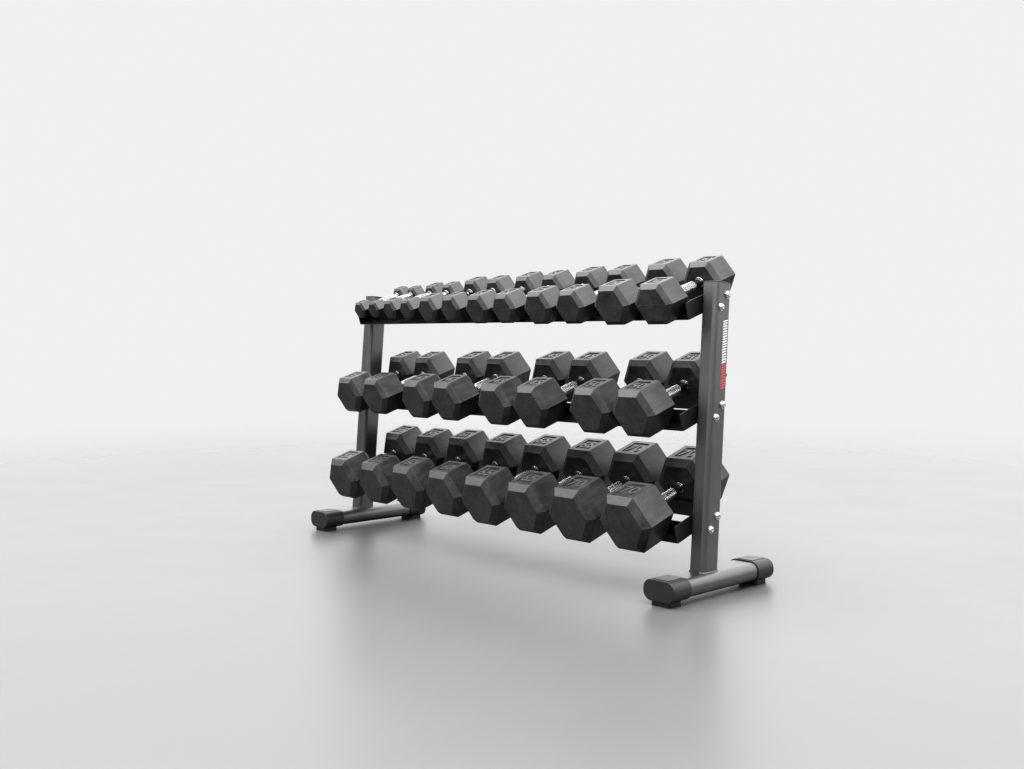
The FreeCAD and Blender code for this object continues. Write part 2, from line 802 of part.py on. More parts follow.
failed = [o.Name for o in doc.Objects if "Invalid" in o.State or "Error" in o.State]
failed += [part.Label for part in nodes if part.Shape.isNull() or not part.Shape.isValid()]
if failed:
    raise RuntimeError("these did not build: " + ", ".join(failed))

os.makedirs("parts", exist_ok=True)
for part in nodes:
    part.Shape.exportStep(f"parts/{part.Label}.step")
print(len(nodes), "nodes written")
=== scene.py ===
import json
import math

import bmesh
import bpy
import numpy as np
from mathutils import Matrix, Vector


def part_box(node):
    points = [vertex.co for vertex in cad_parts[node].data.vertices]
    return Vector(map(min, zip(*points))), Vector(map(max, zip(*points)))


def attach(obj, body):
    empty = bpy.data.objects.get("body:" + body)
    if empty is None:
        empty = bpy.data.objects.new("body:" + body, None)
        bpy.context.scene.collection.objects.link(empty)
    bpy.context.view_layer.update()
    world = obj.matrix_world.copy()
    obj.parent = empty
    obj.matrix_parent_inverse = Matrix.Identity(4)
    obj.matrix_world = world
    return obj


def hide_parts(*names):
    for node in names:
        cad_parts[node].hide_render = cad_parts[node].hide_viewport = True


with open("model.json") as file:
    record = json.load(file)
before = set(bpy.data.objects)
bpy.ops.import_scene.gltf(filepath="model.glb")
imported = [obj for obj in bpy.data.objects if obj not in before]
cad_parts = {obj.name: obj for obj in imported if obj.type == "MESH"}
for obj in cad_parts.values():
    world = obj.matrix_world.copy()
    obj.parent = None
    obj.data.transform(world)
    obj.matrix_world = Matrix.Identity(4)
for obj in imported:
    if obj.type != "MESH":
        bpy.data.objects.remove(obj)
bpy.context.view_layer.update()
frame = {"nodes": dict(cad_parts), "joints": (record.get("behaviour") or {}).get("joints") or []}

# The shelves' own directions: across runs along the rails, along climbs the slope to the back,
# and lift is square to the slope, the way a dumbbell comes off.
lift = np.array(frame["joints"][0]["axis"], float)
along = np.array((0.0, lift[2], -lift[1]))
across = np.array((1.0, 0.0, 0.0))
levels = ["bottom", "middle", "top"]
sides = {"left": -1, "right": 1}


def nodePoints(node):
    # every vertex of a CAD node, as rows of x, y, z
    mesh = frame["nodes"][node].data
    found = np.zeros(len(mesh.vertices) * 3)
    mesh.vertices.foreach_get("co", found)
    return found.reshape(-1, 3)


def boxMiddle(node):
    # half the sum of the CAD node's two corners
    low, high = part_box(node)
    return (np.array(low) + np.array(high)) / 2


def place(local, middle, axes):
    # local coordinates times three axes, plus the middle
    return np.asarray(local) @ np.asarray(axes) + middle


def outward(points, faces):
    # turns the faces round if the volume they close, summed over triangles, comes out negative
    triangles = [face[:3] for face in faces]
    triangles += [[face[0], *face[2:]] for face in faces if len(face) == 4]
    first, second, third = points[np.array(triangles)].transpose(1, 0, 2)
    volume = np.sum(first * np.cross(second, third))
    return faces if volume > 0 else [face[::-1] for face in faces]


def shell(rings, closedLoop=False):
    # rings of equal length joined by quads; the ends close on a middle point, or on each other
    count, columns = rings.shape[:2]
    points = rings.reshape(-1, 3)
    row = np.arange(count if closedLoop else count - 1)[:, None]
    column = np.arange(columns)[None, :]
    after, below = (column + 1) % columns, (row + 1) % count
    quads = np.stack([row * columns + column, row * columns + after,
                      below * columns + after, below * columns + column], -1).reshape(-1, 4)
    faces = quads.tolist()
    if not closedLoop:
        edge = np.arange(columns)
        last = (count - 1) * columns
        poles = np.array([rings[0].mean(0), rings[-1].mean(0)])
        startFan = np.stack([edge, np.full(columns, len(points)), (edge + 1) % columns], -1)
        endFan = np.stack([last + (edge + 1) % columns, np.full(columns, len(points) + 1),
                           last + edge], -1)
        points = np.vstack([points, poles])
        faces += startFan.tolist() + endFan.tolist()
    return points, outward(points, faces)


def joined(shells):
    # several closed shells as one set of points and faces
    points, faces, start = [], [], 0
    for shellPoints, shellFaces in shells:
        points.append(shellPoints)
        faces += [[index + start for index in face] for face in shellFaces]
        start += len(shellPoints)
    return np.vstack(points), faces


def makeMesh(name, points, faces, sharpAngle=35):
    # smooth shading, broken where two faces meet at more than the angle in degrees
    mesh = bpy.data.meshes.new(name)
    mesh.from_pydata(points.tolist(), [], faces)
    mesh.shade_smooth()
    mesh.set_sharp_from_angle(angle=math.radians(sharpAngle))
    return mesh


def addPiece(name, mesh, body, material, stands=()):
    # one finished piece: its material, its body and the CAD nodes it stands for
    piece = bpy.data.objects.new(name, mesh)
    bpy.context.scene.collection.objects.link(piece)
    mesh.materials.clear()
    mesh.materials.append(material)
    weighted = piece.modifiers.new("flatShading", "WEIGHTED_NORMAL")
    weighted.keep_sharp = True
    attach(piece, body)
    if stands:
        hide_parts(*stands)
    return piece


def roundedRing(width, height, corner, perCorner=8):
    # a rectangle with quarter circles at its corners, as points of two numbers
    turn = np.radians(np.linspace(0, 90, perCorner))
    quarter = np.arange(4)[:, None] * math.pi / 2
    signs = np.array([(1, 1), (-1, 1), (-1, -1), (1, -1)])
    centres = signs * np.array((width / 2 - corner, height / 2 - corner))
    angle = quarter + turn[None, :]
    arcs = np.stack([np.cos(angle), np.sin(angle)], -1) * corner
    return (centres[:, None, :] + arcs).reshape(-1, 2)


def roundedOutline(corners, radii, steps=5):
    # a polygon whose corners are arcs: each arc is centred on the corner's bisector
    corners = np.asarray(corners, float)
    before = np.roll(corners, 1, 0) - corners
    after = np.roll(corners, -1, 0) - corners
    before /= np.linalg.norm(before, axis=1)[:, None]
    after /= np.linalg.norm(after, axis=1)[:, None]
    radii = np.asarray(radii, float)[:, None]
    half = np.arccos(np.clip((before * after).sum(1), -1, 1))[:, None] / 2
    bisector = (before + after) / np.linalg.norm(before + after, axis=1)[:, None]
    middle = corners + bisector * radii / np.sin(half)
    start = corners + before * radii / np.tan(half) - middle
    stop = corners + after * radii / np.tan(half) - middle
    share = np.linspace(0, 1, steps)[None, :, None]
    sweep = start[:, None, :] * (1 - share) + stop[:, None, :] * share
    sweep *= radii[:, None, :] / np.linalg.norm(sweep, axis=2)[:, :, None]
    return (middle[:, None, :] + sweep).reshape(-1, 2)


class Number:
    # a shader value: each operator adds one Math node and gives its result
    def __init__(self, paint, socket):
        self.paint, self.socket = paint, socket

    def maths(self, operation, *others):
        return self.paint.add("ShaderNodeMath", {"operation": operation},
                              dict(enumerate([self, *others])))

    def __add__(self, other):
        return self.maths("ADD", other)

    def __sub__(self, other):
        return self.maths("SUBTRACT", other)

    def __rsub__(self, other):
        return self.maths("MULTIPLY", -1.0).maths("ADD", other)

    def __mul__(self, other):
        return self.maths("MULTIPLY", other)

    def __truediv__(self, other):
        return self.maths("DIVIDE", other)

    def __abs__(self):
        return self.maths("ABSOLUTE")

    __radd__ = __add__
    __rmul__ = __mul__


class Paint:
    # a material's node tree, or the world's if that is the owner, built up one node at a time
    def __init__(self, name, owner=None):
        self.material = owner or bpy.data.materials.new(name)
        self.material.use_nodes = True
        self.tree = self.material.node_tree
        self.tree.nodes.clear()

    def add(self, kind, settings=None, sockets=None, output=0):
        # any node: its settings first, then the values or links of its sockets
        node = self.tree.nodes.new(kind)
        for name, setting in (settings or {}).items():
            if name == "stops":
                ramp = node.color_ramp.elements
                while len(ramp) < len(setting):
                    ramp.new(0.5)
                for element, (position, colour) in zip(ramp, setting):
                    element.position, element.color = position, (*colour, 1)
            else:
                setattr(node, name, setting)
        for name, given in (sockets or {}).items():
            if isinstance(given, Number):
                self.tree.links.new(given.socket, node.inputs[name])
            else:
                node.inputs[name].default_value = given
        return Number(self, node.outputs[output]) if len(node.outputs) else None

    def blend(self, share, first, second):
        # a colour between two, by share
        def four(colour):
            return colour if isinstance(colour, Number) else (*colour, 1)
        return self.add("ShaderNodeMix", {"data_type": "RGBA"},
                        {0: share, 6: four(first), 7: four(second)}, output=2)

    def place(self, stretch=(1, 1, 1), attribute=None):
        # a piece's own coordinates, or an attribute of its mesh, stretched along each axis
        if attribute:
            start = self.add("ShaderNodeAttribute", {"attribute_name": attribute}, output=1)
        else:
            start = self.add("ShaderNodeTexCoord", output=3)
        return self.add("ShaderNodeMapping", {}, {"Vector": start, "Scale": stretch})

    def noise(self, where, scale, detail=2.0, roughness=0.5):
        # clouds from 0 to 1, about one to every 1 / scale metres
        return self.add("ShaderNodeTexNoise", {}, {
            "Vector": where, "Scale": scale, "Detail": detail, "Roughness": roughness})

    def ramp(self, value, low, high):
        # 0 below low and 1 above high, smooth between
        return self.add("ShaderNodeMapRange", {"interpolation_type": "SMOOTHSTEP"},
                        {"Value": value, "From Min": low, "From Max": high})

    def bump(self, height, distance):
        # a normal tilted as if height 1 stood up by the distance in metres
        return self.add("ShaderNodeBump", {}, {"Height": height, "Distance": distance,
                                               "Strength": 1.0})

    def finish(self, **sockets):
        # one Principled shader; an underscore stands for a space in a socket's name
        named = {name.replace("_", " "): given for name, given in sockets.items()}
        shader = self.add("ShaderNodeBsdfPrincipled", {}, named)
        self.add("ShaderNodeOutputMaterial", {}, {"Surface": shader})
        return self.material


def powderCoat(name, dark, light, roughness, flake):
    # satin powder coat: slow clouds in its tone, and a fine orange peel
    paint = Paint(name)
    where = paint.place()
    clouds = paint.noise(where, 7.0, 3.0)
    peel = paint.noise(where, 900.0, 2.0)
    grit = paint.noise(where, 2600.0, 1.0)
    return paint.finish(
        Base_Color=paint.blend(clouds, (dark,) * 3, (light,) * 3),
        Metallic=flake,
        Roughness=roughness + 0.08 * clouds + 0.05 * grit,
        Normal=paint.bump(peel + 0.4 * grit, 0.00006),
    )


def headRubber():
    # moulded rubber: cloudy release marks, a fine grain, and the parting line at half height
    paint = Paint("headRubber")
    where = paint.place(attribute="seat")
    clouds = paint.noise(where, 22.0, 4.0, 0.6)
    streaks = paint.noise(paint.place((90, 14, 90), "seat"), 1.0, 3.0)
    grain = paint.noise(where, 1400.0, 2.0)
    marks = paint.ramp(clouds * 0.6 + streaks * 0.4, 0.35, 0.7)
    rise = paint.add("ShaderNodeAttribute", {"attribute_name": "rise"}, output=2)
    flash = 1 - paint.ramp(abs(rise), 0.0004, 0.0014)
    return paint.finish(
        Base_Color=paint.blend(marks, (0.015, 0.015, 0.0155), (0.044, 0.044, 0.045)),
        Roughness=0.32 + 0.12 * marks + 0.06 * grain,
        IOR=1.6,
        Normal=paint.bump(grain * 0.15 + flash + marks * 0.15, 0.0003),
    )


def numeralRubber():
    # raised rubber, shinier in patches and paler there as a painted glint
    paint = Paint("numeralRubber")
    cloudsAndSheen = paint.noise(paint.place(), 260.0, 3.0)
    return paint.finish(
        # painted glint: the digits are paler than the head rubber, more so where they are shinier
        Base_Color=paint.blend(cloudsAndSheen, (0.04, 0.04, 0.042), (0.09, 0.09, 0.095)),
        Roughness=0.28 + 0.2 * cloudsAndSheen,
        Normal=paint.bump(cloudsAndSheen, 0.0001),
    )


def handleChrome():
    # polished steel with a diamond knurl on the grip; the map holds turns and metres
    paint = Paint("handleChrome")
    wrap = paint.add("ShaderNodeUVMap", {"uv_map": "wrap"})
    turn = paint.add("ShaderNodeSeparateXYZ", {}, {"Vector": wrap})
    length = Number(paint, turn.socket.node.outputs["Y"])
    turn = turn * handle["knurlCount"]
    pitch = length * handle["knurlCount"] / (2 * math.pi * handle["gripRadius"])
    first = abs((turn + pitch).maths("FRACT") - 0.5)
    second = abs((turn - pitch).maths("FRACT") - 0.5)
    diamonds = first.maths("MAXIMUM", second)
    onGrip = 1 - paint.ramp(abs(length), handle["knurlEnd"], handle["knurlEnd"] + 0.001)
    smears = paint.noise(paint.place(), 120.0, 3.0)
    return paint.finish(
        Base_Color=paint.blend(smears, (0.24, 0.24, 0.245), (0.42, 0.42, 0.425)),
        Metallic=1.0,
        Roughness=0.10 + 0.10 * smears + 0.08 * onGrip,
        Normal=paint.bump(diamonds * onGrip, 0.0022),
    )


def platedSteel():
    # bright plating, a little clouded
    paint = Paint("platedSteel")
    cloudsAndSheen = paint.noise(paint.place(), 300.0, 3.0)
    return paint.finish(
        Base_Color=paint.blend(cloudsAndSheen, (0.46, 0.46, 0.47), (0.66, 0.66, 0.67)),
        Metallic=1.0,
        Roughness=0.16 + 0.16 * cloudsAndSheen,
    )


def capPlastic(name, tone, stretch):
    # moulded plastic with fine drawn lines along the directions that aren't stretched
    paint = Paint(name)
    lines = paint.noise(paint.place(stretch), 1.0, 3.0, 0.6)
    clouds = paint.noise(paint.place(), 25.0, 2.0)
    return paint.finish(
        Base_Color=paint.blend(lines, (tone * 0.5,) * 3, (tone * 1.7,) * 3),
        Roughness=0.24 + 0.20 * lines + 0.08 * clouds,
        Normal=paint.bump(lines, 0.0003),
    )


def padRubber():
    # plain black rubber with a fine grain
    paint = Paint("padRubber")
    grain = paint.noise(paint.place(), 800.0, 2.0)
    return paint.finish(
        Base_Color=paint.blend(grain, (0.012, 0.012, 0.012), (0.022, 0.022, 0.022)),
        Roughness=0.24 + 0.12 * grain,
        Normal=paint.bump(grain, 0.00008),
    )


def printedFilm(name, colour):
    # a printed colour, faded in places
    paint = Paint(name)
    fade = paint.noise(paint.place(), 90.0, 2.0)
    return paint.finish(
        Base_Color=paint.blend(fade, colour, [0.88 * part for part in colour]),
        Roughness=0.32 + 0.1 * fade,
    )


studio = {
    "eye": (2.430, -2.312, 0.657),
    "heading": 46.376,      # degrees to the left of +Y
    "lens": 38.81,
    "shiftUp": -0.0464,
    "lowest": 0.03,         # the sky's brightness where nothing else lights it
    "back": 1.15,
    "ceiling": 0.75,
    "band": 0.8,
    "horizon": 0.8,
    "backdrop": 0.62,       # what the camera itself sees
    "floorTone": 0.105,
    "floorRadius": 6.0,
    "floorSides": 96,
}
# each lamp: where it stands, where it aims, its width and height in metres, and its watts
lamps = {
    "overheadPanel": ((0.3, -0.7, 4.0), (0, 0, 0.5), (7.0, 4.4), 350),
    "frontLeftPanel": ((-2.9, -2.7, 3.3), (0, 0, 0.4), (3.2, 2.4), 70),
    "frontRightPanel": ((2.6, -2.6, 3.5), (0, 0, 0.5), (3.2, 2.4), 130),
}


def makeCamera():
    # a level camera, turned about Z only, with its frame shifted up or down
    camera = bpy.data.objects.new("camera", bpy.data.cameras.new("camera"))
    camera.location = studio["eye"]
    camera.rotation_euler = (math.pi / 2, 0, math.radians(studio["heading"]))
    camera.data.lens = studio["lens"]
    camera.data.sensor_width = 36
    camera.data.shift_y = studio["shiftUp"]
    camera.data.clip_start, camera.data.clip_end = 0.05, 60
    bpy.context.scene.collection.objects.link(camera)
    bpy.context.scene.camera = camera


def makeSky():
    # brightness by direction: a bright ceiling and back, darker at the front and below, and one
    # plain tone where the camera looks
    world = bpy.context.scene.world or bpy.data.worlds.new("studio")
    bpy.context.scene.world = world
    sky = Paint("sky", world)
    direction = sky.add("ShaderNodeTexCoord", output=0)
    x = sky.add("ShaderNodeSeparateXYZ", {}, {"Vector": direction})
    y = Number(sky, x.socket.node.outputs["Y"])
    z = Number(sky, x.socket.node.outputs["Z"])
    backness = sky.ramp(x * -0.25 + y * 0.95, -0.35, 0.35) * sky.ramp(z, -0.12, 0.0)
    upness = sky.ramp(z + 0.3 * y, 0.25, 0.8)
    # a soft upright band straight in front
    band = (1 - sky.ramp(abs(x + 0.15), 0.04, 0.22)) * (1 - backness) * sky.ramp(z, -0.1, 0.05)
    # a pale horizon all round, low enough to be met mostly in the floor
    rim = (1 - backness) * sky.ramp(z, 0.02, 0.10) * (1 - sky.ramp(z, 0.30, 0.55))
    glow = (studio["lowest"] + studio["back"] * backness + studio["ceiling"] * upness
            + studio["band"] * band + studio["horizon"] * rim)
    seen = sky.add("ShaderNodeLightPath", output=0)
    level = sky.add("ShaderNodeMix", {}, {0: seen, 2: glow, 3: studio["backdrop"]})
    shader = sky.add("ShaderNodeBackground", {}, {"Strength": level, "Color": (1, 1, 1, 1)})
    sky.add("ShaderNodeOutputWorld", {}, {"Surface": shader})


def makeLamp(name, spot, target, size, power):
    # a rectangle of light, tipped and turned so that its face looks at the target
    lamp = bpy.data.objects.new(name, bpy.data.lights.new(name, "AREA"))
    lamp.data.shape = "RECTANGLE"
    lamp.data.size, lamp.data.size_y = size
    lamp.data.energy = power
    lamp.visible_camera = False
    lamp.location = spot
    aim = np.array(target, float) - np.array(spot, float)
    flat = math.hypot(aim[0], aim[1])
    lamp.rotation_euler = (math.pi / 2 + math.atan2(aim[2], flat), 0, math.atan2(-aim[0], aim[1]))
    bpy.context.scene.collection.objects.link(lamp)


def makeFloor():
    # a pale polished floor that fades into the backdrop round its edge
    radius, count = studio["floorRadius"], studio["floorSides"]
    turn = np.linspace(0, 2 * math.pi, count, endpoint=False)
    rim = np.stack([np.cos(turn) * radius, np.sin(turn) * radius, np.zeros(count)], -1)
    mesh = bpy.data.meshes.new("floor")
    mesh.from_pydata(rim.tolist(), [], [list(range(count))])
    floor = bpy.data.objects.new("floor", mesh)
    bpy.context.scene.collection.objects.link(floor)
    paint = Paint("floorPolish")
    where = paint.place()
    distance = paint.add("ShaderNodeVectorMath", {"operation": "LENGTH"}, {0: where}, output=1)
    clouds = paint.noise(where, 1.6, 5.0, 0.6)
    tone = studio["floorTone"]
    shader = paint.add("ShaderNodeBsdfPrincipled", {}, {
        "Base Color": paint.blend(clouds, (tone * 0.9,) * 3, (tone * 1.1,) * 3),
        "Roughness": 0.30 + 0.14 * clouds,
    })
    clear = paint.add("ShaderNodeBsdfTransparent")
    fade = paint.ramp(distance, radius * 0.2, radius * 0.95)
    mixed = paint.add("ShaderNodeMixShader", {}, {0: fade, 1: shader, 2: clear})
    paint.add("ShaderNodeOutputMaterial", {}, {"Surface": mixed})
    mesh.materials.append(paint.material)


footShape = {"wall": 0.0025, "perCorner": 14, "sideHeight": 0.005}


def makeFootTube(side):
    # a flat oval tube: the same ring outside and inside, closed at both ends
    node = "foot_tube_" + side
    low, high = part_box(node)
    width, height = high.x - low.x, high.z - low.z
    corner = (height - footShape["sideHeight"]) / 2
    wall = footShape["wall"]
    outer = roundedRing(width, height, corner, footShape["perCorner"])
    inner = roundedRing(width - 2 * wall, height - 2 * wall, corner - wall, footShape["perCorner"])
    middle = boxMiddle(node)
    rings = []
    for ring, y in ((outer, low.y), (outer, high.y), (inner, high.y), (inner, low.y)):
        flat = np.stack([ring[:, 0], np.full(len(ring), y - middle[1]), ring[:, 1]], -1)
        rings.append(flat + middle)
    mesh = makeMesh("footTube" + side.title(), *shell(np.array(rings), closedLoop=True))
    addPiece(mesh.name, mesh, "rack", framePaint, [node])


def softened(name, node, width, material, segments=2):
    # a copy of a CAD node with its flat faces made whole and its edges rounded to the width given
    shape = bmesh.new()
    shape.from_mesh(frame["nodes"][node].data)
    bmesh.ops.remove_doubles(shape, verts=shape.verts, dist=0.00001)
    bmesh.ops.dissolve_limit(shape, angle_limit=math.radians(0.5), verts=shape.verts,
                             edges=shape.edges)
    mesh = bpy.data.meshes.new(name)
    shape.to_mesh(mesh)
    shape.free()
    mesh.shade_smooth()
    mesh.set_sharp_from_angle(angle=math.radians(40))
    piece = addPiece(name, mesh, "rack", material, [node])
    edge = piece.modifiers.new("softEdge", "BEVEL")
    edge.width, edge.segments = width, segments
    edge.limit_method, edge.angle_limit = "ANGLE", math.radians(40)
    piece.modifiers.move(piece.modifiers.find("softEdge"), 0)


upright = {"lean": 4.5, "width": 0.050, "depth": 0.065, "corner": 0.014, "wall": 0.0025,
           "perCorner": 12, "beadRadius": 0.0026, "beadRipples": 74, "beadPoints": 40,
           "beadSides": 10}


def uprightAxes():
    # the tube's own directions: across, front to back, and up the tube
    lean = math.radians(upright["lean"])
    return np.array([(1, 0, 0), (0, math.cos(lean), -math.sin(lean)),
                     (0, math.sin(lean), math.cos(lean))])


def uprightBase(side):
    # the point where the tube's axis meets the foot: the middle of the tube's lowest points
    points = nodePoints("upright_" + side)
    low = points[points[:, 2] < points[:, 2].min() + 0.0001]
    return (low.min(0) + low.max(0)) / 2


def uprightHeight(side):
    # how far up its own axis the tube reaches
    return ((nodePoints("upright_" + side) - uprightBase(side)) @ uprightAxes()[2]).max()


def makeUpright(side):
    # a rounded tube cut level at its foot and square at its top
    node = "upright_" + side
    base, height, axes = uprightBase(side), uprightHeight(side), uprightAxes()
    rings = []
    wall, slope = upright["wall"], math.tan(math.radians(upright["lean"]))
    for inset, top in ((0, False), (0, True), (wall, True), (wall, False)):
        ring = roundedRing(upright["width"] - 2 * inset, upright["depth"] - 2 * inset,
                           upright["corner"] - inset, upright["perCorner"])
        up = np.full(len(ring), height) if top else ring[:, 1] * slope
        rings.append(place(np.stack([ring[:, 0], ring[:, 1], up], -1), base, axes))
    mesh = makeMesh("upright" + side.title(), *shell(np.array(rings), closedLoop=True))
    addPiece(mesh.name, mesh, "rack", framePaint, [node])


def makeWeld(side):
    # a rippled bead round the upright's base: a small circle carried round a rounded rectangle
    base = uprightBase(side)
    lean = math.radians(upright["lean"])
    path = roundedRing(upright["width"], upright["depth"] / math.cos(lean), upright["corner"],
                       upright["beadPoints"])
    smooth = np.roll(path, -1, 0) - np.roll(path, 1, 0)
    smooth /= np.linalg.norm(smooth, axis=1)[:, None]
    out = np.stack([smooth[:, 1], -smooth[:, 0]], -1)
    length = np.concatenate([[0], np.cumsum(np.linalg.norm(np.diff(path, axis=0), axis=1))])
    ripple = 1 + 0.16 * np.sin(length / length[-1] * 2 * math.pi * upright["beadRipples"])
    turn = np.linspace(0, 2 * math.pi, upright["beadSides"], endpoint=False)
    radius = upright["beadRadius"] * ripple[:, None]
    sideways = path[:, None, :] + out[:, None, :] * (radius * np.cos(turn))[:, :, None]
    up = radius * np.sin(turn)
    rings = np.concatenate([sideways, up[:, :, None]], -1) + base
    mesh = makeMesh("uprightWeld" + side.title(), *shell(rings, closedLoop=True), sharpAngle=180)
    addPiece(mesh.name, mesh, "rack", framePaint)


label = {"top": 0.098, "bars": 27, "redFrom": 17, "pitch": 0.0066, "barHeight": 0.0033,
         "width": 0.017, "slant": 0.005, "back": 0.010, "film": 0.00025}


def makeLabel():
    # a strip of slanted bars on the right-hand upright's outer face, the last of them red
    base, height, axes = uprightBase("right"), uprightHeight("right"), uprightAxes()
    face = upright["width"] / 2
    paleBars, redBars = range(label["redFrom"]), range(label["redFrom"], label["bars"])
    for name, chosen, material in (("labelBarsPale", paleBars, labelPale),
                                   ("labelBarsRed", redBars, labelRed)):
        shells = []
        for bar in chosen:
            top = height - label["top"] - bar * label["pitch"]
            corners = np.array([(0, 0), (1, 0), (1, 1), (0, 1)], float)
            y = label["back"] + (corners[:, 0] - 0.5) * label["width"]
            z = top - corners[:, 1] * label["barHeight"] + corners[:, 0] * label["slant"]
            rings = [place(np.stack([np.full(4, x), y, z], -1), base, axes)
                     for x in (face - label["film"], face + label["film"])]
            shells.append(shell(np.array(rings)))
        mesh = makeMesh(name, *joined(shells))
        addPiece(name, mesh, "rack", material)


rail = {"thickness": 0.003, "bend": 0.002, "edge": 0.0006}


def makeRail(level, end):
    # an angle carried along X: its flange lies on the slope, and its lip stands at the slot
    node = f"rail_{level}_{end}"
    points = nodePoints(node)
    a, u = points @ along, points @ lift
    lipIn = a.max() if end == "front" else a.min()
    tip = a.min() if end == "front" else a.max()
    inwards = np.sign(tip - lipIn)
    thick, edge, bend = rail["thickness"], rail["edge"], rail["bend"]
    profile = roundedOutline(
        [(tip, u.min()), (lipIn, u.min()), (lipIn, u.max()), (lipIn + inwards * thick, u.max()),
         (lipIn + inwards * thick, u.min() + thick), (tip, u.min() + thick)],
        [edge, bend + thick, edge, edge, bend, edge], 6)
    flat = profile[:, :1] * along + profile[:, 1:] * lift
    rings = np.array([flat + across * x for x in (points[:, 0].min(), points[:, 0].max())])
    count = len(profile)
    here = np.arange(count)
    after = (here + 1) % count
    # the ends are whole polygons, because the profile isn't convex; its signed area tells
    # which way round it runs
    faces = np.stack([here, after, after + count, here + count], -1).tolist()
    faces += [here[::-1].tolist(), (here + count).tolist()]
    ahead = np.roll(profile, -1, 0)
    if np.sum(profile[:, 0] * ahead[:, 1] - ahead[:, 0] * profile[:, 1]) <= 0:
        faces = [face[::-1] for face in faces]
    mesh = makeMesh(f"rail{level.title()}{end.title()}", rings.reshape(-1, 3), faces)
    addPiece(mesh.name, mesh, "rack", shelfPaint, [node])


bolt = {"along": 0.018, "rise": 0.011, "headRadius": 0.009, "headHeight": 0.0065,
        "socket": 0.003, "socketDepth": 0.003, "socketEdge": 0.0004, "columns": 24,
        "washer": 0.002, "radius": 0.005, "plate": 0.004, "nut": 0.008, "tip": 0.003,
        "chamfer": 0.001}


def boltShell():
    # radii along its own axis: socket, dome, rim, shank and a chamfered tip
    columns = bolt["columns"]
    turn = np.linspace(0, 2 * math.pi, columns, endpoint=False)
    # a hexagon's radius at each turn, one at its corners
    hexagon = math.cos(math.pi / 6) / np.cos((turn % (math.pi / 3)) - math.pi / 6)
    dome = np.linspace(0.40, 1, 9) * math.pi / 2
    length = bolt["washer"] * 2 + upright["width"] + bolt["plate"] + bolt["nut"] + bolt["tip"]
    socket = bolt["socket"] / math.cos(math.pi / 6)
    top = -bolt["headHeight"] * math.cos(dome[0])
    stations = [(top + bolt["socketDepth"], socket * hexagon),
                (top + bolt["socketEdge"], socket * hexagon), (top, (socket + 0.0005) * hexagon)]
    stations += [(-bolt["headHeight"] * math.cos(part), bolt["headRadius"] * math.sin(part))
                 for part in dome]
    stations += [(0.0, bolt["headRadius"] - 0.0003), (0.0, bolt["radius"]),
                 (length - bolt["chamfer"], bolt["radius"]),
                 (length, bolt["radius"] - bolt["chamfer"])]
    return np.array([np.stack([radius * np.cos(turn), radius * np.sin(turn),
                               np.full(columns, depth)], -1) for depth, radius in stations])


def makeBolts():
    # two bolts to a bracket, each from its washer on the upright's outer face
    shells = []
    for side, sign in sides.items():
        outside = uprightBase(side)[0] + sign * (upright["width"] / 2 + bolt["washer"])
        for level in levels:
            middle = boxMiddle(f"bracket_{level}_{side}")
            for way in (-1, 1):
                spot = middle + way * (bolt["along"] * along + bolt["rise"] * lift)
                spot[0] = outside
                axes = np.array([along, lift, -sign * across])
                shells.append(shell(place(boltShell(), spot, axes)))
    mesh = makeMesh("shelfBolts", *joined(shells))
    addPiece(mesh.name, mesh, "rack", boltSteel, ["shelf_bolts"])


# panelWide, panelLong and panelIn are shares of the flat's width and the head's length, and
# numeral is the digits' height as a share of the panel's length
head = {"cornerRadius": 0.0035, "edgeRadius": 0.0018, "draft": 0.012,
        "panelDepth": 0.0026, "panelWide": 0.62, "panelLong": 0.50, "panelIn": 0.50,
        "panelCorner": 0.003, "panelSlope": 0.0006, "numeral": 0.66, "numeralRise": 0.0018}
handle = {"gripRadius": 0.014, "gripEnd": 0.035, "barrel": 0.0009, "neckRadius": 0.0115,
          "taper": 0.008, "collarRadius": 0.0155, "collarLong": 0.005, "socket": 0.030,
          "knurlCount": 30, "knurlEnd": 0.029, "columns": 32}
headColumns = 48        # points in each ring of a head: eight for each side


def flatWidth(apothem):
    # one side of a hexagon whose sides lie the apothem from its centre
    return apothem * 2 * math.tan(math.radians(30))


def hexRing(apothem, corner):
    # a hexagon with arcs at its corners, eight points for each side, flat at its top
    corner = min(corner, apothem * 0.4)
    reach = (apothem - corner) / math.cos(math.pi / 6)
    first = np.radians(np.arange(6) * 60)[:, None]

    def arc(start, offset):
        # points at the corner's radius about a centre that lies at reach and start
        angle = start + np.radians(offset)[None, :]
        return np.stack([reach * np.cos(start) + corner * np.cos(angle),
                         reach * np.sin(start) + corner * np.sin(angle)], -1)

    leaving = arc(first, np.array([0, 10, 20, 30]))
    arriving = arc(first + math.pi / 3, np.array([-30, -20, -10]))
    middle = (leaving[:, -1:] + arriving[:, :1]) / 2
    return np.concatenate([leaving, middle, arriving], 1).reshape(-1, 2)


def roundRing(radius):
    # a circle with as many points as a hexagon's ring, starting at the same turn
    turn = np.linspace(0, 2 * math.pi, headColumns, endpoint=False)
    return radius * np.stack([np.cos(turn), np.sin(turn)], -1)


def headStations(length, bevel):
    # how far in from the flats, and how far along, a head's outline runs: an eighth of a turn
    # of a small arc at each edge of the 45 degree bevels
    edge = head["edgeRadius"]
    tangent = edge * math.tan(math.radians(22.5))
    share = np.radians(np.linspace(0, 45, 4))
    flatInset = bevel + tangent - edge * np.sin(share)
    flatDepth = edge * (1 - np.cos(share))
    back = share[::-1]
    sideInset = edge * (1 - np.cos(back))
    sideDepth = bevel + tangent - edge * np.sin(back)
    inset = np.concatenate([flatInset, sideInset])
    depth = np.concatenate([flatDepth, sideDepth])
    return np.concatenate([inset, inset[::-1]]), np.concatenate([depth, (length - depth)[::-1]])


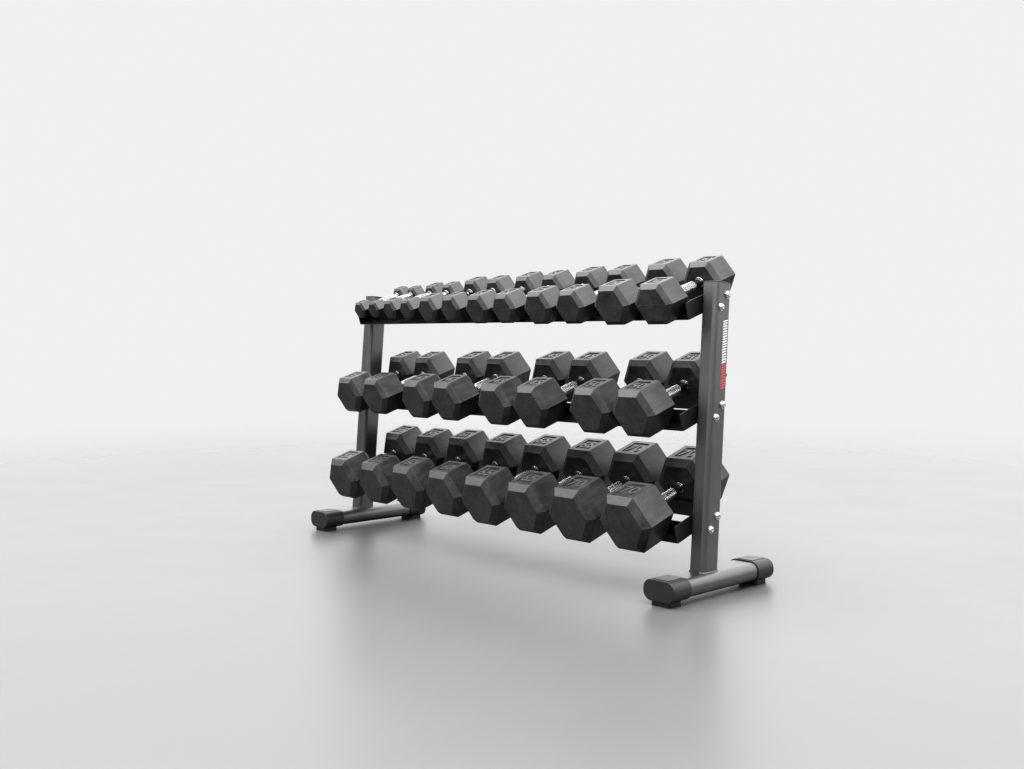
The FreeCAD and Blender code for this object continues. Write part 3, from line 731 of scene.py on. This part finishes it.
def headShell(apothem, length, bevel):
    # from the socket's bottom out over the inner face, the bevels and sides, to the outer face
    inset, depth = headStations(length, bevel)
    neck = roundRing(handle["neckRadius"])
    rings = [(neck, handle["socket"]), (neck, 0), (roundRing(handle["collarRadius"] * 1.15), 0)]
    rings += [(hexRing(apothem - d, head["cornerRadius"]), t) for d, t in zip(inset, depth)]
    face = apothem - inset[-1]
    rings += [(hexRing(face * 0.6, head["cornerRadius"] + face * 0.2), length)]
    points = np.array([np.stack([ring[:, 0], np.full(headColumns, t), ring[:, 1]], -1)
                       for ring, t in rings])
    # both end faces slope back a little above and below the parting line
    outside = np.clip(points[3:, :, 1] / length * 2 - 1, -1, 1)
    points[3:, :, 1] -= outside * head["draft"] * np.abs(points[3:, :, 2])
    return shell(points)


def carve(points, faces, cutter):
    # the first shell with the cutter's taken out of it, as new points and faces
    pieces = []
    for shellPoints, shellFaces in ((points, faces), cutter):
        mesh = bpy.data.meshes.new("carving")
        mesh.from_pydata(shellPoints.tolist(), [], shellFaces)
        pieces.append(bpy.data.objects.new("carving", mesh))
        bpy.context.scene.collection.objects.link(pieces[-1])
    cut = pieces[0].modifiers.new("cut", "BOOLEAN")
    cut.operation, cut.object, cut.solver = "DIFFERENCE", pieces[1], "EXACT"
    solved = pieces[0].evaluated_get(bpy.context.evaluated_depsgraph_get())
    shaped = bpy.data.meshes.new_from_object(solved)
    found = np.zeros(len(shaped.vertices) * 3)
    shaped.vertices.foreach_get("co", found)
    carved = [list(face.vertices) for face in shaped.polygons]
    for piece in pieces:
        bpy.data.objects.remove(piece)
    return found.reshape(-1, 3), carved


def panelCutter(apothem, length):
    # a shallow tray, rounded in plan and a little narrower at its floor
    wide, long = flatWidth(apothem) * head["panelWide"], length * head["panelLong"]
    slope = head["panelSlope"]
    rings = []
    for up, inset in ((apothem - head["panelDepth"], slope), (apothem + 0.002, -slope)):
        ring = roundedRing(wide - 2 * inset, long - 2 * inset, head["panelCorner"], 5)
        rings.append(np.stack([ring[:, 0], ring[:, 1] + length * head["panelIn"],
                               np.full(len(ring), up)], -1))
    return shell(np.array(rings))


def numeralShape(digits, height):
    # the digits as a flat slab of the height given, centred on its own middle
    letters = bpy.data.curves.new("numeral", "FONT")
    letters.body, letters.extrude, letters.resolution_u = digits, 0.5, 3
    letters.offset = 0.02
    carrier = bpy.data.objects.new("numeral", letters)
    bpy.context.scene.collection.objects.link(carrier)
    solved = carrier.evaluated_get(bpy.context.evaluated_depsgraph_get())
    mesh = bpy.data.meshes.new_from_object(solved)
    found = np.zeros(len(mesh.vertices) * 3)
    mesh.vertices.foreach_get("co", found)
    found = found.reshape(-1, 3)
    faces = [list(face.vertices) for face in mesh.polygons]
    bpy.data.objects.remove(carrier)
    found -= (found.min(0) + found.max(0)) / 2
    found[:, :2] *= height / np.ptp(found[:, 1])
    found[:, 2] = np.sign(found[:, 2])
    return found, faces


def handleRadius(distance, inner):
    # neck, plus the grip with its taper, plus a rounded collar at the head's inner face
    x = np.abs(distance)
    ramp = np.clip((handle["gripEnd"] + handle["taper"] - x) / handle["taper"], 0, 1)
    barrel = handle["gripRadius"] - handle["barrel"] * np.clip(x / handle["gripEnd"], 0, 1) ** 2
    grip = (barrel - handle["neckRadius"]) * ramp ** 2 * (3 - 2 * ramp)
    half = handle["collarLong"] / 2
    arch = np.sqrt(np.clip(1 - ((x - inner + half) / half) ** 2, 0, 1))
    collar = (handle["collarRadius"] - handle["neckRadius"]) * arch
    return handle["neckRadius"] + grip + collar


def makeHandle(tag, middle, inner):
    # a radius that changes along the axis, turned round it
    # the stations crowd together on the taper and on the collar
    collar = inner - handle["collarLong"] * (1 - np.linspace(0, 1, 13))
    half = np.concatenate([np.linspace(0, 0.034, 6), np.linspace(0.036, 0.043, 8),
                           np.linspace(0.046, inner - 0.0052, 3), collar,
                           [inner + 0.0005, inner + handle["socket"]]])
    station = np.concatenate([-half[:0:-1], half])
    turn = np.linspace(0, 2 * math.pi, handle["columns"], endpoint=False)
    radius = handleRadius(station, inner)[:, None]
    local = np.stack([radius * np.cos(turn), np.repeat(station[:, None], len(turn), 1),
                      radius * np.sin(turn)], -1)
    points, faces = shell(place(local, middle, (across, along, lift)))
    mesh = makeMesh("handle" + tag, points, faces, sharpAngle=50)
    # the map: a corner's column gives its turn, and column 0 counts as a whole turn on the faces
    # that close the seam
    corner = np.zeros(len(mesh.loops), int)
    mesh.loops.foreach_get("vertex_index", corner)
    column = corner % handle["columns"]
    pole = corner >= len(station) * handle["columns"]
    starts = np.zeros(len(mesh.polygons), int)
    totals = np.zeros(len(mesh.polygons), int)
    mesh.polygons.foreach_get("loop_start", starts)
    mesh.polygons.foreach_get("loop_total", totals)
    low = np.repeat(np.minimum.reduceat(column, starts), totals)
    high = np.repeat(np.maximum.reduceat(column, starts), totals)
    wraps = (high - low > 2) & (column == 0)
    u = (column + np.where(wraps, handle["columns"], 0)) / handle["columns"]
    v = (points[corner] - middle) @ along
    layer = mesh.uv_layers.new(name="wrap")
    layer.data.foreach_set("uv", np.stack([np.where(pole, 0, u), v], -1).ravel())
    addPiece(mesh.name, mesh, "dumbbell_" + tag, handleMaterial)


def makeDumbbell(tag, shapes):
    # two heads, their digits and a handle, all measured from the CAD node along the slope's axes;
    # each weight's head is shaped once and kept in shapes
    node = "dumbbell_" + tag
    middle = boxMiddle(node)
    weight = tag.split("_")[0]
    local = (nodePoints(node) - middle) @ np.array([across, along, lift]).T
    apothem = np.abs(local[:, 2]).max()
    length = local[:, 1].max()
    inner = local[(np.hypot(local[:, 0], local[:, 2]) > apothem * 0.7) & (local[:, 1] > 0), 1].min()
    long = length - inner
    bevel = apothem - local[local[:, 1] > length - 0.0001, 2].max()
    if weight not in shapes:
        carved = carve(*headShell(apothem, long, bevel), panelCutter(apothem, long))
        digits = numeralShape(str(int(weight)), long * head["panelLong"] * head["numeral"])
        shapes[weight] = carved, digits
    (headPoints, headFaces), (digitPoints, digitFaces) = shapes[weight]
    for end, sign in (("Front", -1), ("Rear", 1)):
        axes = np.array([across, sign * along, lift])
        reach = middle + sign * inner * along
        points = place(headPoints, reach, axes)
        faces = [face[::-1] for face in headFaces] if sign < 0 else headFaces
        mesh = makeMesh(f"head{end}{tag}", points, faces, sharpAngle=50)
        # each head carries its own local coordinates, shifted so that no two look alike
        shift = np.array((sum(map(ord, tag)) % 7, sign, apothem * 100)) * 0.37
        mesh.attributes.new("seat", "FLOAT_VECTOR", "POINT").data.foreach_set(
            "vector", (headPoints + shift).astype(np.float32).ravel())
        mesh.attributes.new("rise", "FLOAT", "POINT").data.foreach_set(
            "value", headPoints[:, 2].astype(np.float32).copy())
        addPiece(mesh.name, mesh, node, headMaterial, [node])
        # the digits stand on the tray's floor and read from the front
        panelFloor = apothem - head["panelDepth"] - 0.0002
        spot = reach + sign * long * head["panelIn"] * along + panelFloor * lift
        rise = np.where(digitPoints[:, 2:] > 0, head["numeralRise"], 0)
        flatDigits = digitPoints[:, :1] * across + digitPoints[:, 1:2] * along + rise * lift
        numeral = makeMesh(f"numeral{end}{tag}", flatDigits + spot, digitFaces)
        addPiece(numeral.name, numeral, node, numeralMaterial)
    makeHandle(tag, middle, inner)


bpy.context.scene.view_settings.view_transform = "Standard"
bpy.context.scene.view_settings.look = "High Contrast"
makeCamera()
makeSky()
for name in lamps:
    makeLamp(name, *lamps[name])
makeFloor()
print("studio ready")

framePaint = powderCoat("framePaint", 0.13, 0.175, 0.28, 0.80)
shelfPaint = powderCoat("shelfPaint", 0.012, 0.020, 0.30, 0.0)
capMaterial = capPlastic("capPlastic", 0.022, (14, 14, 700))
plugMaterial = capPlastic("plugPlastic", 0.020, (200, 200, 200))
padMaterial = padRubber()
boltSteel = platedSteel()
headMaterial = headRubber()
numeralMaterial = numeralRubber()
handleMaterial = handleChrome()
labelPale = printedFilm("labelPale", (0.82, 0.82, 0.82))
labelRed = printedFilm("labelRed", (0.62, 0.07, 0.06))
print("materials ready")

for side in sides:
    makeFootTube(side)
    makeUpright(side)
    makeWeld(side)
    softened("uprightPlug" + side.title(), "upright_plug_" + side, 0.0006,
             plugMaterial)
    for end in ("front", "rear"):
        spot = end.title() + side.title()
        softened("footCap" + spot, f"foot_cap_{end}_{side}", 0.0008, capMaterial, 3)
        softened("footPad" + spot, f"foot_pad_{end}_{side}", 0.0016, padMaterial, 3)
softened("footPadScrews", "foot_pad_screws", 0.0003, boltSteel)
makeLabel()
print("feet and uprights ready")

for level in levels:
    for side in sides:
        softened(f"bracket{level.title()}{side.title()}", f"bracket_{level}_{side}", 0.0006,
                 shelfPaint)
    for end in ("front", "rear"):
        makeRail(level, end)
makeBolts()
softened("boltWashers", "bolt_washers", 0.0003, boltSteel)
softened("nutWashers", "nut_washers", 0.0003, boltSteel)
softened("shelfNuts", "shelf_nuts", 0.0005, boltSteel)
print("shelves ready")

headShapes = {}
for node in sorted(frame["nodes"]):
    if node.startswith("dumbbell_"):
        makeDumbbell(node.removeprefix("dumbbell_"), headShapes)
print("dumbbells ready")
